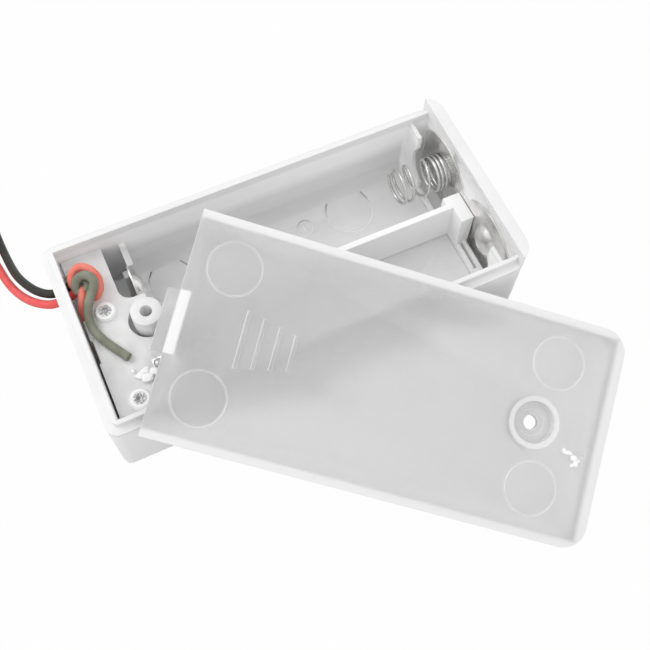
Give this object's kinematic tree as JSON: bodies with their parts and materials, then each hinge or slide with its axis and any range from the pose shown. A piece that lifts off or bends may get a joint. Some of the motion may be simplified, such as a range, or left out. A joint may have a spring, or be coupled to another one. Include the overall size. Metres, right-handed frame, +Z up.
{
  "type": "battery box for two cylindrical cells",
  "caption": "Clear plastic battery box with two round-cell bays, spring contacts, a slide switch, two leads and a loose hook-and-screw cover leaning on it.",
  "frame": {"origin": "centre of the underside of the box, on the surface that it stands on", "axes": "+X along the box to the tall end wall with the hook slot, +Y across the box to the side away from the loose cover, +Z up"},
  "size_m": [0.1029, 0.1121, 0.0272],
  "materials": {
    "clear_plastic": "clear moulded plastic, glossy",
    "frosted_plastic": "clear plastic with a fine frosted face",
    "milky_plastic": "milky white plastic",
    "nickel": "bright nickel plate",
    "switch_steel": "plain plated steel",
    "switch_board": "brown paper laminate",
    "black_plastic": "black moulded plastic",
    "contact_brass": "bright brass strip",
    "terminal_metal": "tinned brass",
    "solder": "bright solder",
    "red_insulation": "soft red insulation",
    "black_insulation": "soft black insulation",
    "faded_red_insulation": "red insulation, faded",
    "olive_insulation": "black insulation, faded to olive",
    "knot_insulation": "red and black insulation knotted together"
  },
  "bodies": {
    "box": {"battery_box": "clear_plastic", "box_cover": "frosted_plastic", "switch_cover_plate": "milky_plastic", "joining_plate": "nickel", "joining_spring": "nickel", "positive_plate": "nickel", "negative_plate": "nickel", "negative_spring": "nickel", "switch_frame": "switch_steel", "switch_board": "switch_board", "live_terminal": "terminal_metal", "common_terminal": "terminal_metal", "spare_terminal": "terminal_metal", "jumper_wire": "red_insulation", "solder_joints": "solder", "lead_knot": "knot_insulation", "red_tail": "faded_red_insulation", "black_tail": "olive_insulation", "red_lead": "red_insulation", "black_lead": "black_insulation", "red_coil": "red_insulation", "black_coil": "black_insulation", "red_wire_end": "red_insulation", "black_wire_end": "black_insulation"},
    "slider": {"switch_knob": "black_plastic", "switch_wiper": "contact_brass"}
  },
  "joints": [
    {"name": "switch_slide", "type": "slide", "parent": "box", "child": "slider", "axis": [0, 1, 0], "range_m": [0, 0.003]}
  ]
}
